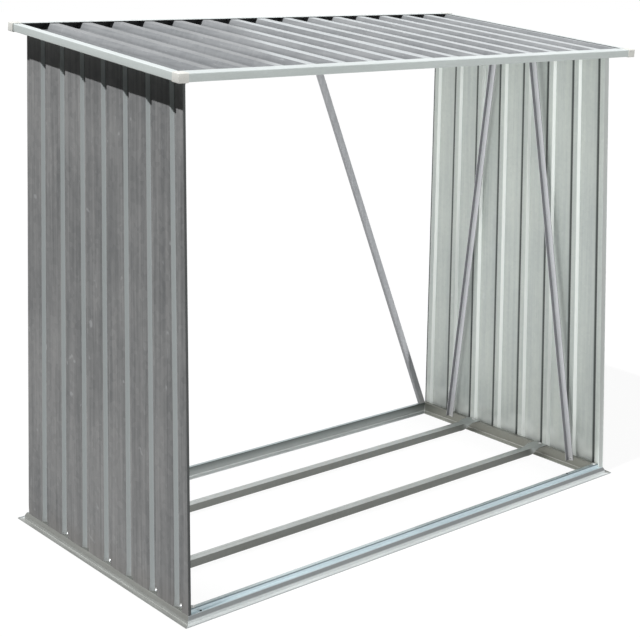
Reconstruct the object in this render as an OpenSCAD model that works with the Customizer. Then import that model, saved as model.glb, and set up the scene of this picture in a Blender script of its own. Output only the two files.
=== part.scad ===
// Log store: an open galvanised steel frame on a ring of rolled sills,
// two corrugated side walls and a corrugated single-pitch roof.
// Origin: middle of the whole store seen from above, on the ground. +X right, +Y back, +Z up.

/* [Roof] */
// Width of the roof, over the corner caps
roof_w = 1720; // [1200:1:2200]
// Depth of the roof, front to back, over the corner caps
roof_d = 910; // [600:1:1200]
// Height of the front edge of the roof
front_h = 1428; // [900:1:1600]
// Height of the back edge of the roof
back_h = 1509; // [900:1:1700]
// How far the roof's front edge stands in front of the sills
roof_front_overhang = 19; // [0:1:150]
// How far the roof's side edges stand outside the side sills
roof_side_overhang = 32; // [0:1:150]

/* [Foundation] */
// Height of the ledge on top of the sills
sill_h = 32; // [26:0.5:60]
// Height of the low ledge that the walls stand on
sill_step_h = 21; // [16:0.5:40]
// Height of the upright riser beside the outer ground flange
sill_riser_h = 11; // [6:0.5:15]
// Height of the lip turned up along the outer ground flange
sill_lip_h = 3.5; // [2:0.5:8]
// Width of the sills' outer ground flange
sill_outer_flange = 15; // [8:1:30]
// Width of the sloping face above the riser
sill_slope_w = 5; // [3:1:20]
// Width of the ledge on top of the sills
sill_ledge_w = 14; // [10:1:40]
// Width of the inner ground flange
sill_inner_flange = 24; // [15:1:50]
// Thickness of the sills, rails, trims and top rails
frame_t = 1.2; // [0.8:0.1:3]

/* [Floor rails] */
// Width of each floor rail
rail_w = 30; // [20:1:60]
// Depth of the floor rails' side webs
rail_web_h = 22; // [12:1:24]
// Distance from the front lip to the front rail's front web
front_rail_at = 279; // [150:1:400]
// Distance from the front lip to the rear rail's front web
rear_rail_at = 615; // [450:1:760]
// Width of the rails' flattened ends
rail_tab_w = 56; // [40:1:90]
// Length of the flattened ends, part of which lies on the side sills
rail_tab_l = 38; // [20:1:45]
// Length over which a web runs out before the flattened end
rail_runout = 60; // [20:1:120]

/* [Walls] */
// Distance from the front and back lips to the walls' feet
wall_end_gap = 20; // [20:1:80]
// Depth of a wall sheet at its top, as a share of the depth at its foot
wall_taper = 0.94; // [0.9:0.005:1]
// Thickness of the corrugated sheets
sheet_t = 0.8; // [0.4:0.1:2]
// Distance between the ribs of the wall sheets
wall_pitch = 121.5; // [80:0.5:160]
// Distance from the left wall's front edge to the middle of its first rib
left_first_rib = 50; // [16:1:80]
// Distance from the right wall's front edge to the middle of its first rib
right_first_rib = 18; // [16:1:80]
// Width of a wall rib's flat crest
wall_crest = 20; // [8:1:40]
// Width of a wall rib's sloping side
wall_flank = 6; // [3:1:15]
// Depth of a wall rib
wall_rib_h = 11; // [6:1:25]

/* [Roof sheets] */
// Distance between the ribs of the roof sheets
roof_pitch = 104.8; // [80:0.1:160]
// Distance from the roof's left edge to the middle of the first rib
roof_first_rib = 132; // [60:1:160]
// Width of a roof rib's flat crest
roof_crest = 28; // [8:1:40]
// Width of a roof rib's sloping side
roof_flank = 8; // [3:1:15]
// Number of the rib where the two roof sheets lap, from the left
lap_rib = 8; // [3:1:12]
// How far the right-hand sheet's edge lies beyond that rib
lap_edge = 22; // [8:1:30]

/* [Roof trim] */
// Height of the roof trims
trim_h = 22.4; // [16:0.1:40]
// Width of the trims' bottom flange
trim_foot = 20; // [12:1:30]
// Width of the front trim's top flange
front_trim_flange = 40; // [20:1:80]
// Width of the back trim's top flange
back_trim_flange = 24; // [20:1:80]
// Width of the side trims' top flange
side_trim_flange = 24; // [20:1:80]
// Thickness of the plastic corner caps
cap_t = 1.5; // [1:0.1:3]
// Length of a corner cap along each edge
cap_l = 30; // [20:1:60]

/* [Top rails and braces] */
// Height of the rail along the top of each wall
top_rail_h = 25; // [20:1:50]
// Distance from the wall's front edge to the top rail's front end
top_rail_at = 80; // [20:1:150]
// Width of a brace's wide leg
brace_w = 22; // [15:1:45]
// Width of a brace's narrow leg
brace_leg = 14; // [8:1:30]
// Thickness of the braces
brace_t = 1.5; // [1:0.1:3]
// How far a brace laps the piece it is bolted to
brace_lap = 15; // [8:1:20]
// Distance from the wall's front edge to the front wall brace's foot
front_foot_at = 121; // [50:1:250]
// Distance from the wall's front edge to the front wall brace's head
front_head_at = 350; // [200:1:420]
// Distance from the wall's front edge to the rear wall brace's head
rear_head_at = 519; // [440:1:700]
// Distance from the wall's front edge to the rear wall brace's foot
rear_foot_at = 724; // [520:1:820]
// Distance from the middle of the roof to a back brace's head
back_head_at = 204; // [60:1:400]
// Distance from the side sill's outer lip to a back brace's foot
back_foot_at = 57; // [50:1:200]

/* [Hidden] */
// Gap between pieces that lie on each other
lay = 0.2;
// Gap between the mitred ends of two sills
mitre_gap = 0.3;

cap_rise = cap_t + lay;
roof_slope = atan((back_h - front_h) / roof_d);
roof_run = roof_d / cos(roof_slope);
trim_w = roof_w - 2 * cap_rise;
trim_run = roof_run - 2 * cap_rise;

// The low ledge is just wide enough for a wall
sill_step_w = wall_rib_h + sheet_t + lay;
sill_total = sill_outer_flange + sill_slope_w + sill_step_w + sill_ledge_w;

// The back sill's inner web stands under the back trim's outer face, where the back braces rise
cap_lean = (trim_h + cap_rise) * sin(roof_slope);
back_brace_run = roof_d - cap_rise * cos(roof_slope) + lay;
roof_front = (cap_lean - back_brace_run - sill_total) / 2;
back_brace_y = roof_front + back_brace_run;
base_front = roof_front + roof_front_overhang;
base_back = back_brace_y + sill_total;
base_d = base_back - base_front;
base_mid = (base_front + base_back) / 2;
base_w = roof_w - 2 * roof_side_overhang;
sill_web_x = base_w / 2 - sill_total;

// Heights here are in the roof's own slanting frame, from the trims' underside
roof_seat = frame_t + lay;
roof_rib_h = trim_h - 2 * roof_seat - 2 * sheet_t - lay;
roof_sheet_w = trim_w - 2 * roof_seat;
roof_sheet_run = trim_run - 2 * roof_seat;
roof_ribs = [for (c = [roof_first_rib : roof_pitch : roof_w]) c - roof_w / 2];
lap_x = roof_ribs[lap_rib - 1];

wall_x = base_w / 2 - sill_outer_flange - sill_slope_w;
wall_inner_x = wall_x - wall_rib_h - sheet_t;
wall_d = base_d - 2 * wall_end_gap;
wall_front = base_front + wall_end_gap;
wall_foot = sill_step_h + lay;
wall_mid = wall_front + wall_d / 2;

rail_half = wall_inner_x - lay;
top_rail_w = wall_inner_x - lay - sill_web_x;
brace_x = sill_web_x - lay;

zinc = [0.72, 0.76, 0.78];
zinc_dark = [0.49, 0.51, 0.52];
zinc_light = [0.82, 0.88, 0.91];
cap_white = [0.93, 0.93, 0.90];

// Height of the roof trims' underside above the ground
function roof_under_z(y) =
    front_h - (trim_h + cap_rise) * cos(roof_slope) + (y - roof_front) * tan(roof_slope);

// The roof's own frame: its front edge on y = 0 and the trims' underside on z = 0
module on_roof() {
    translate([0, roof_front, roof_under_z(roof_front)]) rotate([roof_slope, 0, 0]) children();
}

// Cuts off what would stand above the trims' underside
module under_roof() {
    reach = roof_w + roof_d;
    difference() {
        children();
        on_roof() translate([-reach / 2, -reach / 2, -lay]) cube([reach, 2 * reach, reach]);
    }
}

// Extrudes a section drawn in x and z along y
module along_y(from, to) {
    translate([0, to, 0]) rotate([90, 0, 0]) linear_extrude(to - from) children();
}

// Extrudes a section drawn in y and z along x
module along_x(from, to) {
    translate([from, 0, 0]) rotate([90, 0, 90]) linear_extrude(to - from) children();
}

// Corners of one face of a row of ribs; spread moves each bend outwards along the sheet
function rib_line(ribs, crest, flank, rise, lift, spread) =
    [for (c = ribs) each [[c - crest / 2 - flank - spread, lift], [c - crest / 2 - spread, rise + lift],
                          [c + crest / 2 + spread, rise + lift], [c + crest / 2 + flank + spread, lift]]];

function reversed(list) = [for (i = [len(list) - 1 : -1 : 0]) list[i]];

function bend_spread(flank, rise) = sheet_t * tan(atan(rise / flank) / 2);

// Section of a corrugated sheet whose ribs stand up from y = 0, before its edges are cut;
// starts holds the under and over corners that come before its first rib
module corrugated(ribs, crest, flank, rise, starts) {
    end_x = ribs[len(ribs) - 1] + 2 * (crest + flank);
    under = rib_line(ribs, crest, flank, rise, 0, 0);
    over = rib_line(ribs, crest, flank, rise, sheet_t, bend_spread(flank, rise));
    polygon(concat(starts[0], under, [[end_x, 0], [end_x, sheet_t]], reversed(over), reversed(starts[1])));
}

// Section of a sill: x runs inwards from the outer lip and y is up
module sill_section() {
    t = frame_t;
    lean = atan(sill_slope_w / (sill_step_h - sill_riser_h));
    slope_x = sill_outer_flange + sill_slope_w;
    step_x = slope_x + sill_step_w;
    inner_x = sill_total + sill_inner_flange;
    outside = [[0, 0], [0, sill_lip_h], [t, sill_lip_h], [t, t], [sill_outer_flange, t],
               [sill_outer_flange, sill_riser_h], [slope_x, sill_step_h], [step_x, sill_step_h],
               [step_x, sill_h], [sill_total, sill_h], [sill_total, t], [inner_x, t], [inner_x, 0]];
    inside = [[sill_total - t, 0], [sill_total - t, sill_h - t], [step_x + t, sill_h - t],
              [step_x + t, sill_step_h - t], [slope_x + t * tan(45 - lean / 2), sill_step_h - t],
              [sill_outer_flange + t, sill_riser_h - t * tan(lean / 2)], [sill_outer_flange + t, 0]];
    polygon(concat(outside, inside));
}

// A sill along x with its outer lip on y = 0, mitred at both ends
module sill(length) {
    reach = sill_total + sill_inner_flange + 1;
    half = length / 2 - mitre_gap;
    intersection() {
        along_x(-length / 2, length / 2) sill_section();
        translate([0, 0, -1]) linear_extrude(sill_h + 2)
            polygon([[-half, 0], [half, 0], [half - reach, reach], [reach - half, reach]]);
    }
}

module front_sill() {
    color(zinc_light) translate([0, base_front, 0]) sill(base_w);
}

module back_sill() {
    color(zinc_light) translate([0, base_back, 0]) rotate([0, 0, 180]) sill(base_w);
}

module left_sill() {
    color(zinc_light) translate([-base_w / 2, base_mid, 0]) rotate([0, 0, -90]) sill(base_d);
}

module right_sill() {
    color(zinc_light) translate([base_w / 2, base_mid, 0]) rotate([0, 0, 90]) sill(base_d);
}

// A floor rail: an inverted channel whose ends are pressed flat and lie on the side sills
module floor_rail(at) {
    t = frame_t;
    tab_x = rail_half - rail_tab_l;
    body_x = tab_x - rail_runout;
    side = (rail_tab_w - rail_w) / 2;
    web_x = sill_web_x - lay;
    half_top = [[-rail_half, -side], [-tab_x, -side], [-body_x, 0],
                [body_x, 0], [tab_x, -side], [rail_half, -side]];
    translate([0, base_front + at, sill_h + lay]) {
        linear_extrude(t) polygon(concat(half_top, reversed([for (p = half_top) [p[0], rail_w - p[1]]])));
        for (y = [0, rail_w - t])
            along_y(y, y + t)
                polygon([[-web_x, t], [-web_x, 0], [-body_x, -rail_web_h],
                         [body_x, -rail_web_h], [web_x, 0], [web_x, t]]);
    }
}

module front_floor_rail() {
    color(zinc) floor_rail(front_rail_at);
}

module rear_floor_rail() {
    color(zinc) floor_rail(rear_rail_at);
}

// A wall on the right-hand side: its flats are outside and its ribs stand inwards. The ribs
// draw together towards the top, about the wall's middle and the ribs' inner faces
module wall(first_rib) {
    ribs = [for (c = [first_rib : wall_pitch : wall_d + wall_crest / 2]) c - wall_d / 2];
    start_y = ribs[0] - 2 * wall_crest - wall_flank - first_rib;
    depth = wall_rib_h + sheet_t;
    under_roof() translate([wall_inner_x, wall_mid, wall_foot]) rotate([0, 0, 90])
        linear_extrude(max(front_h, back_h) - wall_foot, scale=wall_taper)
            translate([0, -depth]) intersection() {
                corrugated(ribs, wall_crest, wall_flank, wall_rib_h,
                           [[[start_y, 0]], [[start_y, sheet_t]]]);
                translate([-wall_d / 2, -1]) square([wall_d, depth + 2]);
            }
}

module left_wall() {
    color(zinc_dark) mirror([1, 0, 0]) wall(left_first_rib);
}

module right_wall() {
    color(zinc) wall(right_first_rib);
}

// The channel along the inside of the right-hand wall's top, under the roof sheets;
// it ends in front of the back trim's flange
module top_rail() {
    t = frame_t;
    from = (wall_front + top_rail_at - roof_front) / cos(roof_slope);
    to = roof_run - cap_rise - trim_foot - lay;
    on_roof() translate([sill_web_x, 0, roof_seat - lay - top_rail_h])
        along_y(from, to) difference() {
            square([top_rail_w, top_rail_h]);
            translate([t, -t]) square([top_rail_w - 2 * t, top_rail_h]);
        }
}

module left_top_rail() {
    color(zinc) mirror([1, 0, 0]) top_rail();
}

module right_top_rail() {
    color(zinc) top_rail();
}

// Section of a brace: an angle with its wide leg on x = 0 and its narrow leg at the +y edge
module brace_section() {
    translate([-brace_t, -brace_w / 2]) square([brace_t, brace_w]);
    translate([-brace_leg, brace_w / 2 - brace_t]) square([brace_leg, brace_t]);
}

// A brace on the right-hand wall, from the sill's inner web up to the top rail's side
module wall_brace(foot_at, head_at) {
    foot = [wall_front + foot_at, sill_h - brace_lap];
    head = [wall_front + head_at, roof_under_z(wall_front + head_at) + brace_lap - top_rail_h];
    run = head - foot;
    translate([brace_x, foot[0], foot[1]]) rotate([-atan2(run[0], run[1]), 0, 0])
        linear_extrude(norm(run)) brace_section();
}

module left_wall_front_brace() {
    color(zinc) mirror([1, 0, 0]) wall_brace(front_foot_at, front_head_at);
}

module left_wall_rear_brace() {
    color(zinc) mirror([1, 0, 0]) wall_brace(rear_foot_at, rear_head_at);
}

module right_wall_front_brace() {
    color(zinc) wall_brace(front_foot_at, front_head_at);
}

module right_wall_rear_brace() {
    color(zinc) wall_brace(rear_foot_at, rear_head_at);
}

// A brace across the right half of the back: its head laps the back trim's outer face, and
// its foot stands on the back sill's ledge with a tab bent backwards
module back_brace() {
    foot = [base_w / 2 - back_foot_at, sill_h + lay];
    head = [back_head_at, roof_under_z(back_brace_y)];
    run = head - foot;
    over = 2 * brace_w;
    difference() {
        translate([foot[0], back_brace_y, foot[1]]) rotate([0, atan2(run[0], run[1]), 0])
            translate([0, 0, -over]) linear_extrude(norm(run) + 2 * over)
                rotate([0, 0, 90]) mirror([1, 0, 0]) brace_section();
        translate([foot[0] - over, 0, foot[1] + brace_t / 2 - 2 * over]) cube([2 * over, roof_d, 2 * over]);
        on_roof() translate([0, 0, brace_lap]) cube([base_w, 2 * roof_d, 2 * over]);
    }
    translate([foot[0] - brace_w / 2, back_brace_y + brace_t / 4, foot[1]])
        cube([brace_w, brace_leg, brace_t]);
}

module back_left_brace() {
    color(zinc) mirror([1, 0, 0]) back_brace();
}

module back_right_brace() {
    color(zinc) back_brace();
}

// Extrudes a section drawn in x and z down the roof's slope
module roof_sheet(from, to) {
    on_roof() translate([0, 0, roof_seat])
        along_y(cap_rise + roof_seat, cap_rise + roof_seat + roof_sheet_run) intersection() {
            children();
            translate([from, -1]) square([to - from, trim_h]);
        }
}

module roof_sheet_left() {
    ribs = [for (x = roof_ribs) if (x <= lap_x) x];
    color(zinc) roof_sheet(-roof_sheet_w / 2, lap_x + roof_crest / 2)
        corrugated(ribs, roof_crest, roof_flank, roof_rib_h,
                   [[[-roof_w, 0]], [[-roof_w, sheet_t]]]);
}

// The right-hand sheet begins in the valley before the lap rib, and lies on the left-hand sheet
// as far as that rib's crest
module roof_sheet_right() {
    ribs = [for (x = roof_ribs) if (x > lap_x) x];
    lift = sheet_t + lay;
    spread = bend_spread(roof_flank, roof_rib_h);
    edge = roof_crest / 2 + spread + lay;
    from = lap_x - edge - roof_flank - lap_edge;
    under = [[from, lift], [lap_x - edge - roof_flank, lift], [lap_x - edge, roof_rib_h + lift],
             [lap_x + edge, roof_rib_h + lift], [lap_x + edge + roof_flank, 0]];
    over = [for (i = [0 : 4]) under[i] + [[0, -spread, -spread, spread, spread][i], sheet_t]];
    color(zinc) roof_sheet(from, roof_sheet_w / 2)
        corrugated(ribs, roof_crest, roof_flank, roof_rib_h, [under, over]);
}

// Section of a roof trim: a channel with its back on x = 0, open towards +x
module trim_section(top_flange) {
    square([frame_t, trim_h]);
    square([trim_foot, frame_t]);
    translate([0, trim_h - frame_t]) square([top_flange, frame_t]);
}

// The left half of the front trim, its back facing the front, mitred at the roof's corner
module half_cross_trim(flange) {
    half = trim_w / 2;
    intersection() {
        along_x(-half, 0) trim_section(flange);
        linear_extrude(trim_h)
            polygon([[lay - half, 0], [0, 0], [0, flange], [side_trim_flange + lay - half, flange]]);
    }
}

// The front half of the left trim, mitred at the roof's corner
module half_slope_trim(flange) {
    half = trim_w / 2;
    translate([0, cap_rise, 0]) intersection() {
        translate([-half, 0, 0]) along_y(0, trim_run / 2) trim_section(side_trim_flange);
        linear_extrude(trim_h)
            polygon([[-half, 0], [side_trim_flange - half, flange],
                     [side_trim_flange - half, trim_run / 2], [-half, trim_run / 2]]);
    }
}

// A piece and its mirror image across the roof, joined into one
module both_ends(normal, at) {
    children();
    translate(at) mirror(normal) translate(-at) children();
}

module cross_trim(flange) {
    translate([0, cap_rise, 0]) both_ends([1, 0, 0], [0, 0, 0]) half_cross_trim(flange);
}

module slope_trim() {
    half_slope_trim(front_trim_flange);
    translate([0, roof_run, 0]) mirror([0, 1, 0]) half_slope_trim(back_trim_flange);
}

module front_roof_trim() {
    color(zinc_light) on_roof() cross_trim(front_trim_flange);
}

module back_roof_trim() {
    color(zinc_light) on_roof() translate([0, roof_run, 0]) mirror([0, 1, 0]) cross_trim(back_trim_flange);
}

module left_roof_trim() {
    color(zinc_light) on_roof() slope_trim();
}

module right_roof_trim() {
    color(zinc_light) mirror([1, 0, 0]) on_roof() slope_trim();
}

// The plastic cap on the roof's front left corner, open where the trims enter
module cap() {
    inner_h = trim_h + 2 * lay;
    difference() {
        cube([cap_l, cap_l, inner_h + 2 * cap_t]);
        translate([cap_t, cap_t, cap_t]) cube([cap_l, cap_l, inner_h]);
    }
}

// Sets a cap on a corner: side is -1 or 1, and back is 0 or 1
module corner_cap(side, back) {
    color(cap_white) on_roof() translate([side * roof_w / 2, back * roof_run, -cap_rise])
        mirror([side > 0 ? 1 : 0, 0, 0]) mirror([0, back, 0]) cap();
}

module front_left_cap() {
    corner_cap(-1, 0);
}

module front_right_cap() {
    corner_cap(1, 0);
}

module back_left_cap() {
    corner_cap(-1, 1);
}

module back_right_cap() {
    corner_cap(1, 1);
}

front_sill();
back_sill();
left_sill();
right_sill();
front_floor_rail();
rear_floor_rail();
left_wall();
right_wall();
left_top_rail();
right_top_rail();
left_wall_front_brace();
left_wall_rear_brace();
right_wall_front_brace();
right_wall_rear_brace();
back_left_brace();
back_right_brace();
roof_sheet_left();
roof_sheet_right();
front_roof_trim();
back_roof_trim();
left_roof_trim();
right_roof_trim();
front_left_cap();
front_right_cap();
back_left_cap();
back_right_cap();
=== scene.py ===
# A flat-pack log store of galvanised steel: a ring of rolled sills with two floor rails,
# two corrugated side walls with braces, and a corrugated roof in a capped trim.
import bmesh
import bpy
from math import atan, atan2, cos, pi, radians, sin, tan
from mathutils import Matrix, Vector, noise


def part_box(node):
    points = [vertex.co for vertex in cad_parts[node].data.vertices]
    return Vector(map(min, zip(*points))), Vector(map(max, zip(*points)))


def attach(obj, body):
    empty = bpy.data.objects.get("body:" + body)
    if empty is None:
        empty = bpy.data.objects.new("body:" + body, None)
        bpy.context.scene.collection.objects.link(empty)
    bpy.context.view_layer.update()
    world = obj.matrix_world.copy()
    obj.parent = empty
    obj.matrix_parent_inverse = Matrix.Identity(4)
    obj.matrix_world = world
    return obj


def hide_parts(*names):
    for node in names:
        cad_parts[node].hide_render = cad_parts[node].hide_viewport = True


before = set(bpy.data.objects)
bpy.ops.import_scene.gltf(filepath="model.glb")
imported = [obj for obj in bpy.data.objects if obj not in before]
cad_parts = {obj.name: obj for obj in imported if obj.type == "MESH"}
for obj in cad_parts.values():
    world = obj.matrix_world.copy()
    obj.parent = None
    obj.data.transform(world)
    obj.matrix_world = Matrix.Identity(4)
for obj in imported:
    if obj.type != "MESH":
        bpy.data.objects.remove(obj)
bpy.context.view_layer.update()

# ---------------------------------------------------------------------------------------
# Sills. Four lengths of galvanised strip, each rolled to one section: an outer flange with a
# turned-up lip, a riser and slope, the low ledge under the walls, the top ledge, and an inner
# web and flange. They are mitred at the corners and bolted through the top ledge.

STRIP = 0.0012
SILL_LIP, SILL_RISER, SILL_LOW, SILL_TOP = 0.0035, 0.011, 0.021, 0.032
SILL_FLANGE, SILL_SLOPE, SILL_STEP, SILL_LEDGE, SILL_INNER = 0.015, 0.005, 0.012, 0.014, 0.024
SILL_BEND, MITRE_GAP = 0.0016, 0.0003

side_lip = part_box("right_sill")[1].x
front_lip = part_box("front_sill")[0].y
back_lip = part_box("back_sill")[1].y
middle_y = (front_lip + back_lip) / 2
half_depth = (back_lip - front_lip) / 2


def bent(corners, radius, steps=5):
    """The middle line of a folded strip: its corners, with each bend drawn as an arc."""
    line = [Vector(corners[0])]
    for before, bend, after in zip(corners, corners[1:], corners[2:]):
        before, bend, after = Vector(before), Vector(bend), Vector(after)
        into, out = (before - bend).normalized(), (after - bend).normalized()
        half = into.angle(out) / 2
        reach = min(radius / tan(half), 0.45 * (before - bend).length, 0.45 * (after - bend).length)
        middle = bend + (into + out).normalized() * reach / cos(half)
        start, stop = bend + into * reach - middle, bend + out * reach - middle
        first = atan2(start.y, start.x)
        turn = (atan2(stop.y, stop.x) - first + pi) % (2 * pi) - pi
        for i in range(steps + 1):
            angle = first + turn * i / steps
            line.append(middle + Vector((cos(angle), sin(angle))) * start.length)
    line.append(Vector(corners[-1]))
    return line


def smoothed(mesh, edge=35):
    """Shades a mesh smooth and keeps its cut edges crisp."""
    mesh.polygons.foreach_set("use_smooth", [True] * len(mesh.polygons))
    mesh.set_sharp_from_angle(angle=radians(edge))


def put(name, data):
    """A new object in the scene."""
    made = bpy.data.objects.new(name, data)
    bpy.context.collection.objects.link(made)
    return made


def finished(name, shape):
    """A built shape as a piece of its own, with its faces pointing outwards."""
    bmesh.ops.recalc_face_normals(shape, faces=shape.faces)
    mesh = bpy.data.meshes.new(name)
    shape.to_mesh(mesh)
    shape.free()
    smoothed(mesh)
    return put(name, mesh)


def folded(name, corners, radius, ends, place, thick=STRIP, rows=1):
    """A piece of folded sheet: its section, drawn between ends(u, v) and set by place(u, v, w).
    rows is how many lengths it is divided into, or a list of where its divisions are."""
    line = bent(corners, radius)
    cuts = [k / rows for k in range(rows + 1)] if isinstance(rows, int) else rows
    rows = len(cuts) - 1
    shape = bmesh.new()
    rings = []
    for i, point in enumerate(line):
        before, after = line[max(i - 1, 0)], line[min(i + 1, len(line) - 1)]
        along = (after - before).normalized()
        across = Vector((-along.y, along.x)) * thick / 2
        for u, v in (point + across, point - across):
            start, stop = ends(u, v)
            rings.append([shape.verts.new(place(u, v, start + (stop - start) * cut)) for cut in cuts])
    for i in range(len(line) - 1):
        for side in (0, 1):
            a, b = rings[2 * i + side], rings[2 * i + 2 + side]
            for k in range(rows):
                shape.faces.new((a[k], a[k + 1], b[k + 1], b[k])).material_index = 1 - side
        for k in (0, rows):
            shape.faces.new([rings[2 * i + j][k] for j in (0, 1, 3, 2)])
    for i in (0, len(line) - 1):
        for k in range(rows):
            a, b = rings[2 * i], rings[2 * i + 1]
            shape.faces.new((a[k], a[k + 1], b[k + 1], b[k]))
    return finished(name, shape)


def fitted(piece, slot, materials, *nodes):
    """Gives a finished piece its place in the store and its material, or one for each side."""
    for material in materials if isinstance(materials, tuple) else (materials, materials):
        piece.data.materials.append(material)
    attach(piece, "root")
    if nodes:
        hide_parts(*nodes)


def node_group(name, inputs, outputs):
    """An empty shader node group with named inputs and outputs."""
    group = bpy.data.node_groups.new(name, "ShaderNodeTree")
    kinds = {"vector": "NodeSocketVector", "number": "NodeSocketFloat", "colour": "NodeSocketColor"}
    for socket, kind, value in inputs:
        made = group.interface.new_socket(name=socket, in_out="INPUT", socket_type=kinds[kind])
        if value is not None:
            made.default_value = value
    for socket, kind in outputs:
        group.interface.new_socket(name=socket, in_out="OUTPUT", socket_type=kinds[kind])
    return group, group.nodes.new("NodeGroupInput"), group.nodes.new("NodeGroupOutput")


def added(tree, kind, links=(), **settings):
    """A new node with its settings made and its inputs linked or filled."""
    made = tree.nodes.new(kind)
    for key, value in settings.items():
        setattr(made, key, value)
    for socket, value in dict(links).items():
        if hasattr(value, "is_linked"):
            tree.links.new(value, made.inputs[socket])
        else:
            made.inputs[socket].default_value = value
    return made


def spread(tree, value, low, high, new_low=0.0, new_high=1.0):
    """Stretches part of a value's range over another."""
    made = added(tree, "ShaderNodeMapRange", {"Value": value, "From Min": low, "From Max": high,
                                              "To Min": new_low, "To Max": new_high},
                 interpolation_type="SMOOTHSTEP")
    return made.outputs["Result"]


def blended(tree, factor, a, b, kind="MIX"):
    """Mixes two colours."""
    made = added(tree, "ShaderNodeMix", {0: factor, 6: a, 7: b}, data_type="RGBA", blend_type=kind)
    return made.outputs[2]


def sum_of(tree, kind, a, b=0.0):
    """One sum on two values, or on one."""
    return added(tree, "ShaderNodeMath", {0: a, 1: b}, operation=kind).outputs[0]


def part_along(tree, place, way):
    """How far a place lies, or how much a direction points, along a way."""
    made = added(tree, "ShaderNodeVectorMath", {0: place, 1: way}, operation="DOT_PRODUCT")
    return made.outputs["Value"]


def coordinate(tree, place, axis):
    """One coordinate of a place or a direction."""
    return added(tree, "ShaderNodeSeparateXYZ", {0: place}).outputs[axis]


# The hot-dip coat: faint spangle, and streaks drawn out along the way the strip was rolled
coat, given, result = node_group(
    "hot dip coat",
    [("Place", "vector", None), ("Rolled Along", "vector", (1.0, 1.0, 1.0)),
     ("Streak Size", "number", 60.0), ("Spangle Size", "number", 90.0)],
    [("Streak", "number"), ("Spangle", "number"), ("Patch", "number")])
drawn = added(coat, "ShaderNodeVectorMath", {0: given.outputs["Place"], 1: given.outputs["Rolled Along"]},
              operation="MULTIPLY").outputs[0]
fine = added(coat, "ShaderNodeTexNoise", {"Vector": drawn, "Scale": given.outputs["Streak Size"],
                                          "Detail": 5.0, "Roughness": 0.62})
broad = added(coat, "ShaderNodeTexNoise", {"Vector": given.outputs["Place"], "Scale": 3.1, "Detail": 3.0,
                                           "Roughness": 0.55})
grain = added(coat, "ShaderNodeTexVoronoi", {"Vector": given.outputs["Place"],
                                             "Scale": given.outputs["Spangle Size"], "Randomness": 1.0})
shade = added(coat, "ShaderNodeSeparateColor", {"Color": grain.outputs["Color"]})
coat.links.new(spread(coat, fine.outputs["Fac"], 0.3, 0.7), result.inputs["Streak"])
coat.links.new(shade.outputs["Red"], result.inputs["Spangle"])
coat.links.new(spread(coat, broad.outputs["Fac"], 0.32, 0.68), result.inputs["Patch"])

# Handling: fine scratches at a few angles, and dust that settles low down
handling, given, result = node_group(
    "handling marks",
    [("Place", "vector", None), ("Scratch Size", "number", 22.0), ("Dust Height", "number", 0.12)],
    [("Scratch", "number"), ("Dust", "number")])
scratches = []
for turned, stretch in (((0.3, 0.2, 0.5), (1.0, 14.0, 1.0)), ((1.2, 0.7, -0.4), (16.0, 1.0, 1.0))):
    laid = added(handling, "ShaderNodeMapping",
                 {"Vector": given.outputs["Place"], "Rotation": turned, "Scale": stretch})
    lines = added(handling, "ShaderNodeTexNoise", {"Vector": laid.outputs[0],
                                                   "Scale": given.outputs["Scratch Size"], "Detail": 2.0})
    scratches.append(spread(handling, lines.outputs["Fac"], 0.70, 0.76))
handling.links.new(sum_of(handling, "MAXIMUM", *scratches), result.inputs["Scratch"])
height = coordinate(handling, given.outputs["Place"], "Z")
cloud = added(handling, "ShaderNodeTexNoise",
              {"Vector": given.outputs["Place"], "Scale": 9.0, "Detail": 4.0})
level = sum_of(handling, "DIVIDE", height, given.outputs["Dust Height"])
low = spread(handling, sum_of(handling, "SUBTRACT", level, cloud.outputs["Fac"]), 0.4, -0.4)
handling.links.new(low, result.inputs["Dust"])


SCRATCH_BRIGHT = (0.85, 0.88, 0.9, 1.0)


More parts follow.
